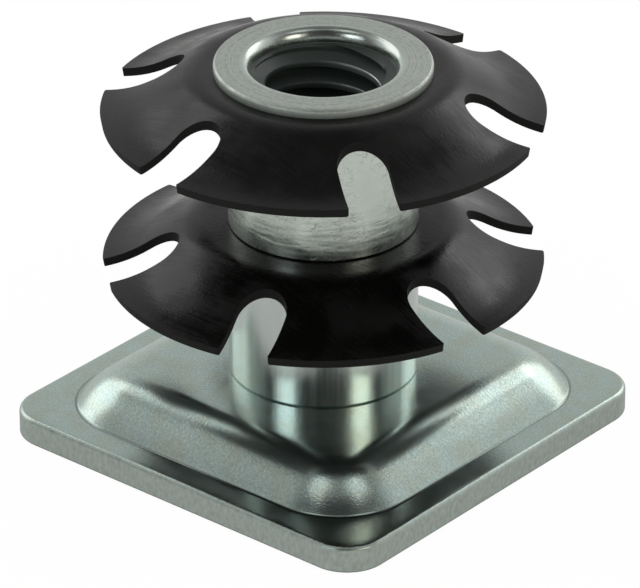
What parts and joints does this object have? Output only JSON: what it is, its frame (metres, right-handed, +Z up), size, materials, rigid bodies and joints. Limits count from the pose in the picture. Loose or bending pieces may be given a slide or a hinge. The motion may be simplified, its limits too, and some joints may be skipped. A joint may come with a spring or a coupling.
{
  "type": "threaded caster insert",
  "caption": "Threaded caster insert for a square tube: pressed square plate with a raised pad, threaded barrel, spacers and slotted black star washers that grip the tube.",
  "frame": {"origin": "on the barrel's axis, in the plane of the underside of the plate's rim", "axes": "+Z up the barrel's axis from the plate to the rolled ring, X and Y square to the plate's sides"},
  "size_m": [0.0318, 0.0318, 0.0278],
  "materials": {
    "zinc_plate": "satin",
    "zinc_barrel": "satin",
    "zinc_spacer": "satin",
    "black_spring_steel": "satin"
  },
  "bodies": {
    "root": {"base_plate": "zinc_plate", "threaded_barrel": "zinc_barrel", "lower_spacer": "zinc_spacer", "lower_star": "black_spring_steel", "upper_spacer": "zinc_spacer", "upper_star": "black_spring_steel"}
  },
  "joints": []
}
